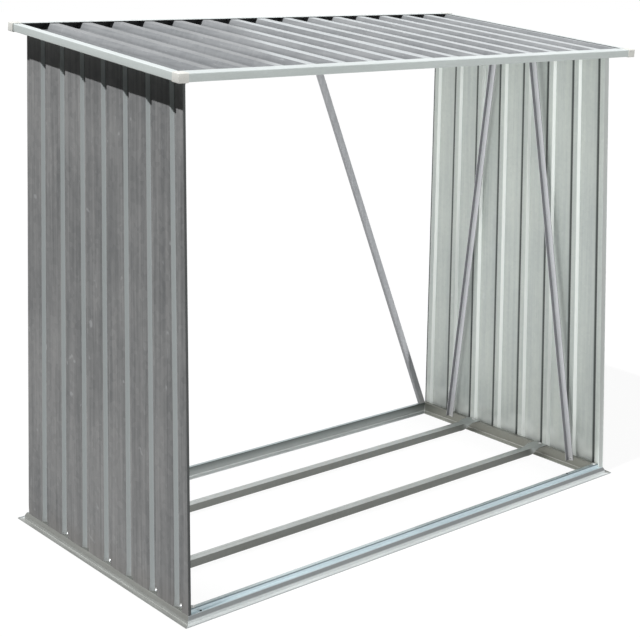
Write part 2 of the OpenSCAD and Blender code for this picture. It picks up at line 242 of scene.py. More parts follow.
def galvanised(name, light, dark, dust, rough, metal, rolled, streaks, spangle, mirror=0.5, ribs=None):
    """Galvanised sheet: two tones streaked along the rolling, with spangle, scratches and dust.
    ribs(tree, place, colour) may add painted light and shade on the ribs and folds."""
    made = bpy.data.materials.new(name)
    made.use_nodes = True
    tree = made.node_tree
    shader = tree.nodes["Principled BSDF"]
    place = added(tree, "ShaderNodeTexCoord").outputs["Object"]
    zinc = added(tree, "ShaderNodeGroup", {"Place": place, "Rolled Along": rolled, "Streak Size": streaks,
                                           "Spangle Size": spangle}, node_tree=coat)
    marks = added(tree, "ShaderNodeGroup", {"Place": place}, node_tree=handling)
    tone = sum_of(tree, "MULTIPLY", zinc.outputs["Streak"], 0.5)
    tone = sum_of(tree, "ADD", tone, sum_of(tree, "MULTIPLY", zinc.outputs["Patch"], 0.3))
    tone = sum_of(tree, "ADD", tone, sum_of(tree, "MULTIPLY", zinc.outputs["Spangle"], 0.2))
    colour = blended(tree, tone, dark, light)
    colour = blended(tree, sum_of(tree, "MULTIPLY", marks.outputs["Dust"], 0.35), colour, dust)
    scratched = sum_of(tree, "MULTIPLY", marks.outputs["Scratch"], 0.18)
    colour = blended(tree, scratched, colour, SCRATCH_BRIGHT)
    if ribs:
        colour = ribs(tree, place, colour)
    tree.links.new(colour, shader.inputs["Base Color"])
    gloss = spread(tree, zinc.outputs["Streak"], 0.0, 1.0, rough - 0.06, rough + 0.06)
    gloss = sum_of(tree, "ADD", gloss, sum_of(tree, "MULTIPLY", marks.outputs["Dust"], 0.12))
    tree.links.new(gloss, shader.inputs["Roughness"])
    shader.inputs["Metallic"].default_value = metal
    shader.inputs["Specular IOR Level"].default_value = mirror
    relief = sum_of(tree, "SUBTRACT", sum_of(tree, "MULTIPLY", zinc.outputs["Streak"], 0.4),
                    marks.outputs["Scratch"])
    bump = added(tree, "ShaderNodeBump", {"Height": relief, "Strength": 0.12, "Distance": 0.0004})
    tree.links.new(bump.outputs["Normal"], shader.inputs["Normal"])
    return made


step_in = SILL_FLANGE + SILL_SLOPE + SILL_STEP
web_in = step_in + SILL_LEDGE
LINE = 0.0025                       # the width over which one fold's brightness turns into the next

# Each fold gets its own brightness, painted light and shade that stands in for how light falls on
# it. This tells the folds apart: how far a place lies from the lip along the strip's outer side,
# and whether it is on the inner web or flange
section_place, given, result = node_group(
    "place on the sill", [("Place", "vector", None), ("Way", "vector", (0.0, 1.0, 0.0)),
                          ("Middle", "number", 0.0), ("Reach", "number", 0.5)],
    [("Along Strip", "number"), ("Inner Side", "number"), ("Height", "number")])
off = part_along(section_place, given.outputs["Place"], given.outputs["Way"])
off = sum_of(section_place, "ABSOLUTE", sum_of(section_place, "SUBTRACT", off, given.outputs["Middle"]))
inward = sum_of(section_place, "SUBTRACT", given.outputs["Reach"], off)
rise = coordinate(section_place, given.outputs["Place"], "Z")
past_ledge = sum_of(section_place, "GREATER_THAN", inward, web_in - STRIP)
section_place.links.new(sum_of(section_place, "ADD", inward, rise), result.inputs["Along Strip"])
section_place.links.new(past_ledge, result.inputs["Inner Side"])
section_place.links.new(rise, result.inputs["Height"])


def ramp(tree, value, full, stops):
    """Colours along a value that runs from 0 to full."""
    made = added(tree, "ShaderNodeValToRGB", {"Fac": sum_of(tree, "DIVIDE", value, full)})
    marks = made.color_ramp.elements
    while len(marks) < len(stops):
        marks.new(1.0)
    for mark, (at, colour) in zip(marks, stops):
        mark.position, mark.color = min(max(at / full, 0.0), 1.0), (*colour, 1.0)
    return made.outputs["Color"]


def sill_fold_painted_light(way, middle, reach, tones):
    """Painted light and shade on a sill's folds, one tone for each fold. tones: lip, flange, slope,
    low ledge, line, top ledge, web top, web foot and inner flange."""
    lip, flange, slope, low_ledge, line, top_ledge, web_top, web_foot, inner = tones
    slope_at = SILL_FLANGE + SILL_RISER
    low_at = SILL_FLANGE + SILL_SLOPE + SILL_LOW
    top_at = step_in + SILL_TOP

    def look(tree, place, colour):
        at = added(tree, "ShaderNodeGroup", {"Place": place, "Way": way, "Middle": middle,
                                             "Reach": reach}, node_tree=section_place)
        outer = ramp(tree, at.outputs["Along Strip"], web_in + SILL_TOP, [
            (LINE, lip), (2 * LINE, flange), (slope_at - LINE, flange), (slope_at + LINE / 2, slope),
            (low_at - LINE, slope), (low_at + LINE, low_ledge), (top_at - 1.8 * LINE, low_ledge),
            (top_at - LINE, line), (top_at - LINE / 4, line), (top_at + LINE, top_ledge)])
        web = ramp(tree, at.outputs["Height"], SILL_TOP, [
            (2 * STRIP, inner), (4 * STRIP, web_foot), (SILL_TOP, web_top)])
        return blended(tree, 1.0, colour, blended(tree, at.outputs["Inner Side"], outer, web), "MULTIPLY")
    return look


# Painted light and shade for the folds: a brighter set for the front and back sills, and a darker, shaded
# set for the side sills.
lit_fold_tones = ((0.6, 0.62, 0.63), (0.98, 0.99, 0.99), (0.32, 0.33, 0.335),
                (0.85, 0.95, 1.0), (0.24, 0.29, 0.32), (0.66, 0.73, 0.74),
                (0.16, 0.18, 0.175), (0.56, 0.58, 0.57), (1.0, 1.0, 1.0))
shaded_fold_tones = ((0.45, 0.46, 0.46), (0.60, 0.61, 0.61), (0.33, 0.335, 0.325),
              (0.38, 0.39, 0.38), (0.24, 0.25, 0.24), (0.46, 0.46, 0.435),
              (0.42, 0.42, 0.385), (0.52, 0.52, 0.48), (1.0, 1.0, 0.98))
sill_across = galvanised("rolled sill across", (0.84, 0.88, 0.90, 1), (0.66, 0.70, 0.72, 1),
                         (0.56, 0.54, 0.50, 1), 0.34, 0.75, (0.06, 1.0, 1.0), 95.0, 140.0,
                         ribs=sill_fold_painted_light((0, 1, 0), middle_y, half_depth, lit_fold_tones))
sill_along = galvanised("rolled sill along", (0.84, 0.87, 0.86, 1), (0.64, 0.66, 0.65, 1),
                        (0.52, 0.49, 0.44, 1), 0.36, 0.75, (1.0, 0.06, 1.0), 95.0, 140.0,
                        ribs=sill_fold_painted_light((1, 0, 0), 0.0, side_lip, shaded_fold_tones))

HALF = STRIP / 2
lean = atan(SILL_SLOPE / (SILL_LOW - SILL_RISER))
sill_section = [
    (HALF, SILL_LIP), (HALF, HALF), (SILL_FLANGE + HALF, HALF),
    (SILL_FLANGE + HALF, SILL_RISER - HALF * tan(lean / 2)),
    (SILL_FLANGE + SILL_SLOPE + HALF * tan(pi / 4 - lean / 2), SILL_LOW - HALF),
    (step_in + HALF, SILL_LOW - HALF), (step_in + HALF, SILL_TOP - HALF),
    (web_in - HALF, SILL_TOP - HALF), (web_in - HALF, HALF), (web_in + SILL_INNER, HALF)]


def sill(node, half, place, material):
    """One sill, with its ends cut at 45 degrees."""
    piece = folded(node + "_rolled", sill_section, SILL_BEND,
                   lambda u, v: (u + MITRE_GAP - half, half - MITRE_GAP - u), place, rows=2)
    fitted(piece, "sill", material, node)


sill("front_sill", side_lip, lambda u, v, w: (w, front_lip + u, v), sill_across)
sill("back_sill", side_lip, lambda u, v, w: (w, back_lip - u, v), sill_across)
sill("left_sill", half_depth, lambda u, v, w: (u - side_lip, middle_y + w, v), sill_along)
sill("right_sill", half_depth, lambda u, v, w: (side_lip - u, middle_y + w, v), sill_along)

# ---------------------------------------------------------------------------------------
# Bolts. Zinc-plated pan heads on white plastic washers hold every joint; each row of them is
# one tree of nodes that sets a head and a washer on each spot, square to the sheet.

CROWN = 0.62                        # a pan head's flat top against its base


def bolt_tree(head_material, washer_material):
    """Head and washer on every point of a mesh, turned to the point's own direction."""
    tree = bpy.data.node_groups.new("bolted joint", "GeometryNodeTree")
    sockets = {}
    for name, kind, value in (("Spots", "NodeSocketGeometry", None),
                              ("Head Radius", "NodeSocketFloat", 0.0038),
                              ("Head Height", "NodeSocketFloat", 0.0026),
                              ("Washer Radius", "NodeSocketFloat", 0.0068),
                              ("Washer Thickness", "NodeSocketFloat", 0.0016)):
        made = tree.interface.new_socket(name=name, in_out="INPUT", socket_type=kind)
        if value is not None:
            made.default_value = value
        sockets[name] = made.identifier
    tree.interface.new_socket(name="Bolts", in_out="OUTPUT", socket_type="NodeSocketGeometry")
    given, result = tree.nodes.new("NodeGroupInput"), tree.nodes.new("NodeGroupOutput")
    disc = added(tree, "GeometryNodeMeshCylinder",
                 {"Vertices": 24, "Radius": given.outputs["Washer Radius"],
                  "Depth": given.outputs["Washer Thickness"]}, fill_type="NGON")
    half = added(tree, "ShaderNodeMath", {0: given.outputs["Washer Thickness"], 1: 0.5},
                 operation="MULTIPLY").outputs[0]
    lift = added(tree, "ShaderNodeCombineXYZ", {"Z": half}).outputs[0]
    disc = added(tree, "GeometryNodeTransform", {"Geometry": disc.outputs["Mesh"], "Translation": lift})
    disc = added(tree, "GeometryNodeSetMaterial",
                 {"Geometry": disc.outputs[0], "Material": washer_material})
    head = added(tree, "GeometryNodeMeshCone",
                 {"Vertices": 20, "Side Segments": 2, "Radius Bottom": given.outputs["Head Radius"],
                  "Depth": given.outputs["Head Height"]}, fill_type="NGON")
    crown = added(tree, "ShaderNodeMath", {0: given.outputs["Head Radius"], 1: CROWN},
                  operation="MULTIPLY").outputs[0]
    tree.links.new(crown, head.inputs["Radius Top"])
    rise = added(tree, "ShaderNodeCombineXYZ", {"Z": given.outputs["Washer Thickness"]}).outputs[0]
    head = added(tree, "GeometryNodeTransform", {"Geometry": head.outputs["Mesh"], "Translation": rise})
    head = added(tree, "GeometryNodeSetMaterial",
                 {"Geometry": head.outputs[0], "Material": head_material})
    both = tree.nodes.new("GeometryNodeJoinGeometry")
    tree.links.new(disc.outputs[0], both.inputs[0])
    tree.links.new(head.outputs[0], both.inputs[0])
    facing = added(tree, "GeometryNodeInputNamedAttribute", {"Name": "facing"}, data_type="FLOAT_VECTOR")
    turned = added(tree, "FunctionNodeAlignEulerToVector",
                   {"Vector": facing.outputs["Attribute"]}, axis="Z")
    placed = added(tree, "GeometryNodeInstanceOnPoints",
                   {"Points": given.outputs["Spots"], "Instance": both.outputs[0],
                    "Rotation": turned.outputs[0]})
    real = added(tree, "GeometryNodeRealizeInstances", {"Geometry": placed.outputs[0]})
    tree.links.new(real.outputs[0], result.inputs[0])
    return tree, sockets


def plated(name, colour, rough, metal):
    """A small turned or moulded part: an even colour, cloudy with handling."""
    made = bpy.data.materials.new(name)
    made.use_nodes = True
    tree = made.node_tree
    shader = tree.nodes["Principled BSDF"]
    place = added(tree, "ShaderNodeTexCoord").outputs["Object"]
    cloud = added(tree, "ShaderNodeTexNoise", {"Vector": place, "Scale": 260.0, "Detail": 3.0})
    worn = tuple(c * 0.82 for c in colour[:3]) + (1.0,)
    tree.links.new(blended(tree, cloud.outputs["Fac"], worn, colour), shader.inputs["Base Color"])
    tree.links.new(spread(tree, cloud.outputs["Fac"], 0.2, 0.8, rough - 0.08, rough + 0.08),
                   shader.inputs["Roughness"])
    bump = added(tree, "ShaderNodeBump", {"Height": cloud.outputs["Fac"], "Strength": 0.1,
                                          "Distance": 0.0002})
    tree.links.new(bump.outputs["Normal"], shader.inputs["Normal"])
    shader.inputs["Metallic"].default_value = metal
    return made


head_zinc = plated("plated bolt", (0.62, 0.64, 0.66, 1), 0.3, 0.9)
washer_white = plated("washer plastic", (0.88, 0.89, 0.86, 1), 0.45, 0.0)
bolts, bolt_sockets = bolt_tree(head_zinc, washer_white)


def bolted(name, slot, spots, tree=bolts, **sizes):
    """Bolts at each (place, direction) of spots, made into one plain mesh."""
    mesh = bpy.data.meshes.new(name + "_spots")
    mesh.from_pydata([place for place, _ in spots], [], [])
    facing = mesh.attributes.new("facing", "FLOAT_VECTOR", "POINT")
    facing.data.foreach_set("vector", [c for _, way in spots for c in way])
    holder = put(name + "_spots", mesh)
    modifier = holder.modifiers.new("bolts", "NODES")
    modifier.node_group = tree
    for size, value in sizes.items():
        modifier[bolt_sockets[size.replace("_", " ")]] = value
    evaluated = holder.evaluated_get(bpy.context.evaluated_depsgraph_get())
    made = bpy.data.meshes.new_from_object(evaluated)
    made.name = name
    bpy.data.objects.remove(holder)
    if "facing" in made.attributes:
        made.attributes.remove(made.attributes["facing"])
    smoothed(made, 30)
    fitted(put(name, made), slot, ())


UP, LEFT, RIGHT, BACK = (0, 0, 1), (-1, 0, 0), (1, 0, 0), (0, 1, 0)
CORNER_BOLT_IN = 0.006              # how far the corner bolts stand in from the side ledges' middle
ledge_mid = web_in - SILL_LEDGE / 2
corner_spots = [((side * (side_lip - ledge_mid - CORNER_BOLT_IN), y, SILL_TOP), UP)
                for side in (-1, 1) for y in (front_lip + ledge_mid, back_lip - ledge_mid)]
bolted("sill_corner_bolts", "sill", corner_spots)

LOW_SCREW_X, TOP_SCREW_X = -0.767, 0.650
screw_dark = plated("dark screw", (0.05, 0.052, 0.055, 1), 0.4, 0.6)
screws = bolt_tree(screw_dark, screw_dark)[0]
screw_spots = [((LOW_SCREW_X, front_lip + step_in - SILL_STEP / 2, SILL_LOW), UP),
               ((TOP_SCREW_X, front_lip + ledge_mid, SILL_TOP), UP)]
bolted("sill_screws", "sill", screw_spots, screws, Head_Radius=0.0026, Head_Height=0.0012,
       Washer_Radius=0.0034, Washer_Thickness=0.0006)

# ---------------------------------------------------------------------------------------
# Floor rails. Two pressed channels that tie the side sills together and hold logs off the
# ground; their webs are splayed flat at each end to lie on the side sills' top ledges.

RAIL_W, RAIL_WEB, RAIL_TAB, RAIL_RUNOUT = 0.030, 0.022, 0.038, 0.060
RAIL_BEND, RAIL_CREASE, RAIL_SHOULDER = 0.0018, 0.0009, 0.0006
SPLAY = 0.62                        # how much of a web's depth turns into width at the ends


def painted_web_shade(web):
    """Painted shade: webs and faces darker than the flat that lies upwards, which keeps the lit colour.
    """
    def look(tree, place, colour):
        facing = added(tree, "ShaderNodeTexCoord").outputs["Normal"]
        upward = spread(tree, coordinate(tree, facing, "Z"), 0.35, 0.85)
        return blended(tree, upward, blended(tree, 1.0, colour, web, "MULTIPLY"), colour)
    return look


# The floor rails' webs are darkened as painted shade.
rail_zinc = galvanised("floor rail", (0.60, 0.64, 0.64, 1), (0.42, 0.45, 0.45, 1),
                       (0.40, 0.39, 0.36, 1), 0.36, 0.7, (0.06, 1.0, 1.0), 95.0, 140.0,
                       ribs=painted_web_shade((0.40, 0.40, 0.38, 1)))


def floor_rail(node):
    """One floor rail, drawn section by section along its length; gives its bolts' places."""
    lo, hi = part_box(node)
    front = (lo.y + hi.y) / 2 - RAIL_W / 2
    deck = hi.z - STRIP
    body = hi.x - RAIL_TAB - RAIL_RUNOUT
    stations = [-hi.x, RAIL_TAB - hi.x] + [-body - RAIL_RUNOUT * (1 - k / 8) for k in range(1, 9)]
    stations += [-x for x in reversed(stations)]
    shape = bmesh.new()
    rings = []
    for x in stations:
        flat = min(max((abs(x) - body) / RAIL_RUNOUT, 0.0), 1.0)
        flat = flat * flat * (3 - 2 * flat)
        angle = flat * pi / 2
        out, down = sin(angle) * RAIL_WEB * SPLAY, cos(angle) * RAIL_WEB
        crease = RAIL_CREASE * (1 - flat)
        section = [(-out, HALF - down), (RAIL_SHOULDER, HALF), (RAIL_W * 0.46, HALF),
                   (RAIL_W * 0.52, HALF - crease), (RAIL_W * 0.58, HALF), (RAIL_W - RAIL_SHOULDER, HALF),
                   (RAIL_W + out, HALF - down)]
        line = bent(section, RAIL_BEND, 4)
        ring = []
        for i, point in enumerate(line):
            before, after = line[max(i - 1, 0)], line[min(i + 1, len(line) - 1)]
            along = (after - before).normalized()
            across = Vector((-along.y, along.x)) * HALF
            ring.append([shape.verts.new((x, front + p.x, deck + p.y))
                         for p in (point + across, point - across)])
        rings.append(ring)
    for a, b in zip(rings, rings[1:]):
        for i in range(len(a) - 1):
            for side in (0, 1):
                shape.faces.new((a[i][side], a[i + 1][side], b[i + 1][side], b[i][side]))
        for i in (0, len(a) - 1):
            shape.faces.new((a[i][0], a[i][1], b[i][1], b[i][0]))
    for ring in (rings[0], rings[-1]):
        for i in range(len(ring) - 1):
            shape.faces.new((ring[i][0], ring[i + 1][0], ring[i + 1][1], ring[i][1]))
    fitted(finished(node + "_pressed", shape), "floor_rail", rail_zinc, node)
    return [((side * (side_lip - ledge_mid), front + RAIL_W / 2, hi.z), UP) for side in (-1, 1)]


bolted("floor_rail_bolts", "floor_rail",
       floor_rail("front_floor_rail") + floor_rail("rear_floor_rail"),
       Washer_Radius=0.005, Head_Radius=0.0034)

# ---------------------------------------------------------------------------------------
# Walls. Each is one corrugated sheet with its grey coat outside and bare zinc inside, its
# edges turned in. The ribs stand inwards and are bolted to the sill's upstand at their feet.

SHEET = 0.0008
WALL_PITCH, LEFT_FIRST, RIGHT_FIRST, WALL_TAPER = 0.1215, 0.050, 0.018, 0.94
WALL_CREST, WALL_FLANK, WALL_RIB = 0.020, 0.006, 0.011
WALL_BEND, EDGE_TURN, CUT_EDGE = 0.0022, 0.008, 0.0001
FOOT_FLARE, FLARE_RISE, FLARE_REACH = 0.009, 0.038, 0.004
BUCKLE = 0.0004                     # how far thin sheet stands off its true flat
LAY = 0.0002                        # the gap between two sheets that lie on each other
SKIN = SHEET / 2
FRONT_H, BACK_H, ROOF_D = 1.428, 1.509, 0.910               # the roof that the walls are cut to
TRIM_H, CAP_T = 0.0224, 0.0015

CAP_RISE = CAP_T + LAY
slope = atan((BACK_H - FRONT_H) / ROOF_D)
roof_run = ROOF_D / cos(slope)
roof_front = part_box("front_left_cap")[0].y + (TRIM_H + CAP_RISE) * sin(slope)
wall_lo, wall_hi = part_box("right_wall")
wall_face = wall_hi.x
wall_depth = wall_hi.y - wall_lo.y
wall_inside = wall_face - WALL_RIB - SHEET
wall_middle = (wall_hi.y + wall_lo.y) / 2


def bare_sides(tree, colour, bright, where=None):
    """A painted tone of their own for the faces that look to the front or back, such as ribs' sides: a
    painted highlight where the tone is pale, painted shade where it is dark.
    """
    facing = added(tree, "ShaderNodeTexCoord").outputs["Normal"]
    side = spread(tree, sum_of(tree, "ABSOLUTE", part_along(tree, facing, BACK)), 0.35, 0.8)
    if where:
        side = sum_of(tree, "MULTIPLY", side, where)
    return blended(tree, side, colour, bright)


# Painted shadow lies in the fold behind each rib: the ribs draw together upwards, as the sheet does
FOLD_START, FOLD_END = WALL_CREST / 2 + 0.002, WALL_CREST / 2 + WALL_FLANK
FADE_START, FADE_END = FOLD_END + 0.011, FOLD_END + 0.017
folds, given, result = node_group(
    "painted shadow behind the ribs", [("Place", "vector", None), ("First Rib", "number", 0.0)], [("Painted Shadow", "number")])
spot = added(folds, "ShaderNodeSeparateXYZ", {0: given.outputs["Place"]})
climb = sum_of(folds, "SUBTRACT", spot.outputs["Z"], wall_lo.z)
climb = sum_of(folds, "DIVIDE", climb, BACK_H - wall_lo.z)
share = sum_of(folds, "SUBTRACT", 1.0, sum_of(folds, "MULTIPLY", climb, 1 - WALL_TAPER))
back = sum_of(folds, "DIVIDE", sum_of(folds, "SUBTRACT", spot.outputs["Y"], wall_middle), share)
back = sum_of(folds, "ADD", back, wall_depth / 2)
back = sum_of(folds, "SUBTRACT", back, given.outputs["First Rib"])
back = sum_of(folds, "MODULO", sum_of(folds, "ADD", back, WALL_PITCH), WALL_PITCH)
near = spread(folds, back, FOLD_START, FOLD_END)
far = spread(folds, back, FADE_START, FADE_END, 1.0, 0.0)
folds.links.new(sum_of(folds, "MULTIPLY", near, far), result.inputs["Painted Shadow"])


def rib_sides(tree, place, colour, bright, edge):
    """Painted highlights on the ribs' sides, and painted shade on the wall's front edge."""
    front = wall_lo.y + (1 - WALL_TAPER) * wall_depth / 2
    behind = spread(tree, coordinate(tree, place, "Y"), front + EDGE_TURN, front + 1.5 * EDGE_TURN)
    colour = bare_sides(tree, colour, bright, behind)
    return bare_sides(tree, colour, edge, sum_of(tree, "SUBTRACT", 1.0, behind))


def outer_ribs(tree, place, colour):
    """The outside's ribs, with painted highlights on their sides and painted shade on the front edge."""
    return rib_sides(tree, place, colour, (0.56, 0.60, 0.60, 1), (0.11, 0.115, 0.115, 1))


FLOOR_REFLECTION_RISE = 0.2                    # how far up a wall the painted reflection of the floor reaches


def inner_ribs(first):
    """The inside's ribs, with painted shadow in their folds and a pale painted reflection of the floor
    towards the foot.
    """
    def look(tree, place, colour):
        # Painted reflection: the pale reflection of the floor, towards the wall's foot.
        cloud = added(tree, "ShaderNodeTexNoise", {"Vector": place, "Scale": 11.0, "Detail": 2.0})
        low = sum_of(tree, "DIVIDE", coordinate(tree, place, "Z"), FLOOR_REFLECTION_RISE)
        floor_reflection = sum_of(tree, "ADD", low, cloud.outputs["Fac"])
        floor_reflection = sum_of(tree, "MULTIPLY", spread(tree, floor_reflection, 1.05, 0.75), 0.55)
        colour = blended(tree, floor_reflection, colour, (0.86, 0.90, 0.87, 1))
        # Painted highlights on the ribs' sides and painted shade on the wall's front edge.
        colour = rib_sides(tree, place, colour, (0.90, 0.94, 0.91, 1), (0.42, 0.44, 0.43, 1))
        # Painted shadow: a dark line in the fold behind each rib.
        fold_shadow = added(tree, "ShaderNodeGroup", {"Place": place, "First Rib": first}, node_tree=folds)
        return blended(tree, sum_of(tree, "MULTIPLY", fold_shadow.outputs["Painted Shadow"], 0.93), colour,
                       (0.045, 0.052, 0.05, 1))
    return look


def zinc_inside(name, first):
    """Bare zinc for a wall's inside, with its ribs counted from that wall's first."""
    return galvanised(name, (0.70, 0.745, 0.70, 1), (0.53, 0.575, 0.56, 1), (0.50, 0.48, 0.44, 1),
                      0.36, 0.3, (1.0, 1.0, 0.03), 70.0, 90.0, 0.4, inner_ribs(first))


coat_grey = galvanised("wall coat outside", (0.345, 0.345, 0.343, 1), (0.165, 0.17, 0.173, 1),
                       (0.23, 0.215, 0.20, 1), 0.5, 0.0, (1.0, 1.0, 0.03), 70.0, 60.0, 0.02, outer_ribs)
left_zinc = zinc_inside("left wall zinc inside", LEFT_FIRST)
right_zinc = zinc_inside("right wall zinc inside", RIGHT_FIRST)


def under_roof(y):
    """Height of the trims' underside above the ground."""
    return FRONT_H - (TRIM_H + CAP_RISE) * cos(slope) + (y - roof_front) * tan(slope)


def drawn_in(side, y, depth, z):
    """A place on a wall: the sheet narrows towards its top, so its ribs draw together there."""
    share = 1 - (1 - WALL_TAPER) * (z - wall_lo.z) / (BACK_H - wall_lo.z)
    return side * (wall_inside + (wall_face - depth - wall_inside) * share), wall_middle + y * share, z


def wall_top(y):
    """Where a wall's sheet ends, just under the trims, at a place across its foot."""
    top = under_roof(wall_middle + y * WALL_TAPER)
    return under_roof(drawn_in(1, y, 0, top)[1]) - LAY


def wall_section(grooves):
    """A wall's section: its turned-in front edge, if there's room for one, and its ribs."""
    line = [(CUT_EDGE - wall_depth / 2, SKIN)]
    if grooves[0] - WALL_CREST / 2 - WALL_FLANK + wall_depth / 2 > EDGE_TURN:
        line = [(SKIN - wall_depth / 2, EDGE_TURN), (SKIN - wall_depth / 2, SKIN)]
    for middle in grooves:
        line += [(middle - WALL_CREST / 2 - WALL_FLANK, SKIN), (middle - WALL_CREST / 2, WALL_RIB + SKIN),
                 (middle + WALL_CREST / 2, WALL_RIB + SKIN), (middle + WALL_CREST / 2 + WALL_FLANK, SKIN)]
    if grooves[-1] + WALL_CREST / 2 > wall_depth / 2:
        return line[:-2] + [(wall_depth / 2 - CUT_EDGE, WALL_RIB + SKIN)]
    return line + [(wall_depth / 2 - CUT_EDGE, SKIN)]


def flared(y, height, grooves):
    """Near its foot a groove widens where its bolt draws the flats in."""
    away = y - min(grooves, key=lambda g: abs(y - g))
    near = min(max((abs(away) - WALL_CREST / 2) / WALL_FLANK, 0.0), 1.0)
    low = min(max(1 - height / FLARE_RISE, 0.0), 1.0)
    if abs(away) > WALL_CREST / 2 + WALL_FLANK + FLARE_REACH or abs(y) > wall_depth / 2 - FLARE_REACH:
        return y
    return y + (FOOT_FLARE if away > 0 else -0.4 * FOOT_FLARE) * near * low * low


RIBS, FOOT_BOLTS, HEAD_BOLTS = 8, (0, 1, 3, 5, 7), (1, 3, 5)
FOOT_BOLT_RISE, HEAD_BOLT_DROP = 0.0062, 0.012
foot_rows = [0, 0.002, 0.004, 0.006, 0.009, 0.013, 0.018, 0.024, 0.032]
wall_rows = foot_rows + [0.05 + 0.095 * k for k in range(11)]


def wall(node, side, first, materials):
    """One wall, a little buckled as thin sheet is; gives its bolts' places."""
    grooves = [first + WALL_PITCH * k - wall_depth / 2 for k in range(RIBS)]

    def place(u, v, w):
        buckle = noise.noise((u * 5 + 3 * side, w * 2.2, 0.0)) * BUCKLE
        return drawn_in(side, flared(u, w - wall_lo.z, grooves), v + buckle, w)
    piece = folded(node + "_sheet", wall_section(grooves), WALL_BEND,
                   lambda u, v: (wall_lo.z, wall_top(u)), place, SHEET, wall_rows)
    fitted(piece, "wall_sheet", materials, node)
    feet = [(grooves[k], SILL_LOW + FOOT_BOLT_RISE) for k in FOOT_BOLTS
            if grooves[k] + WALL_CREST / 2 < wall_depth / 2]
    heads = [(grooves[k], wall_top(grooves[k]) - HEAD_BOLT_DROP) for k in HEAD_BOLTS]
    return [(drawn_in(side, y, WALL_RIB - LAY, z), (side, 0, 0)) for y, z in feet + heads]


wall_bolts = wall("left_wall", -1, LEFT_FIRST, (coat_grey, left_zinc))
wall_bolts += wall("right_wall", 1, RIGHT_FIRST, (coat_grey, right_zinc))
bolted("wall_bolts", "wall_sheet", wall_bolts, Washer_Radius=0.0058)

# ---------------------------------------------------------------------------------------
# Top rails and braces. A channel inside each wall's top carries the roof; two angle braces on
# each wall and two across the back, all folded from zinc strip and bolted at both ends.

BRACE_W, BRACE_LEG, BRACE_T, BRACE_LAP, BRACE_BEND = 0.022, 0.014, 0.0015, 0.015, 0.0016
TOP_RAIL_H = 0.025
FRONT_BRACE, REAR_BRACE = (0.121, 0.350), (0.724, 0.519)    # foot and head, from the wall's front
BACK_FOOT_IN, BACK_HEAD_X = 0.057, 0.204
TAB_BEND = 0.001

rail_coat = galvanised("top rail", (0.55, 0.57, 0.57, 1), (0.42, 0.44, 0.44, 1),
                       (0.4, 0.38, 0.35, 1), 0.4, 0.6, (1.0, 0.06, 1.0), 95.0, 140.0)


def brace_leg(tree, place, colour):
    """Painted shade: the leg that stands out from a wall brace is darker, as it catches less light."""
    return bare_sides(tree, colour, (0.21, 0.215, 0.225, 1))


# The wall braces and back braces are the same zinc strip: the wall braces' tone is raised as painted
# light, for the roof's shade they stand in, and the back braces' tone is lowered as painted shade.
wall_brace_lit_zinc = galvanised("wall brace", (0.85, 0.86, 0.89, 1), (0.67, 0.68, 0.71, 1),
                             (0.5, 0.48, 0.45, 1), 0.38, 0.4, (1.0, 1.0, 0.05), 95.0, 140.0,
                             ribs=brace_leg)
back_brace_shaded_zinc = galvanised("back brace", (0.37, 0.375, 0.39, 1), (0.26, 0.265, 0.28, 1),
                             (0.5, 0.48, 0.45, 1), 0.38, 0.4, (1.0, 1.0, 0.05), 95.0, 140.0)
for node in ("left_top_rail", "right_top_rail"):
    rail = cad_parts[node]
    rail.data.materials.clear()
    rail.data.materials.append(rail_coat)

brace_face = side_lip - web_in - LAY
brace_section = [(-BRACE_T / 2, -BRACE_W / 2), (-BRACE_T / 2, BRACE_W / 2 - BRACE_T / 2),
                 (-BRACE_LEG, BRACE_W / 2 - BRACE_T / 2)]


def wall_brace(node, side, foot_at, head_at):
    """An angle brace flat against a wall's inside; gives its two bolts' places."""
    foot = Vector((wall_lo.y + foot_at, SILL_TOP - BRACE_LAP))
    head_y = wall_lo.y + head_at
    head = Vector((head_y, under_roof(head_y) + BRACE_LAP - TOP_RAIL_H))
    run = head - foot
    way = run.normalized()

    def place(u, v, w):
        return side * (brace_face + u), foot.x + way.y * v + way.x * w, foot.y - way.x * v + way.y * w
    piece = folded(node + "_angle", brace_section, BRACE_BEND, lambda u, v: (0, run.length), place,
                   BRACE_T, 4)
    fitted(piece, "brace", wall_brace_lit_zinc, node)
    spots = [foot + way * along for along in (0.0085, run.length - 0.009)]
    return [((side * (brace_face - BRACE_T), spot.x, spot.y), (-side, 0, 0)) for spot in spots]


brace_spots = []
for side, name in ((-1, "left"), (1, "right")):
    brace_spots += wall_brace(name + "_wall_front_brace", side, *FRONT_BRACE)
    brace_spots += wall_brace(name + "_wall_rear_brace", side, *REAR_BRACE)

trim_face = roof_front + ROOF_D - CAP_RISE * cos(slope) + LAY


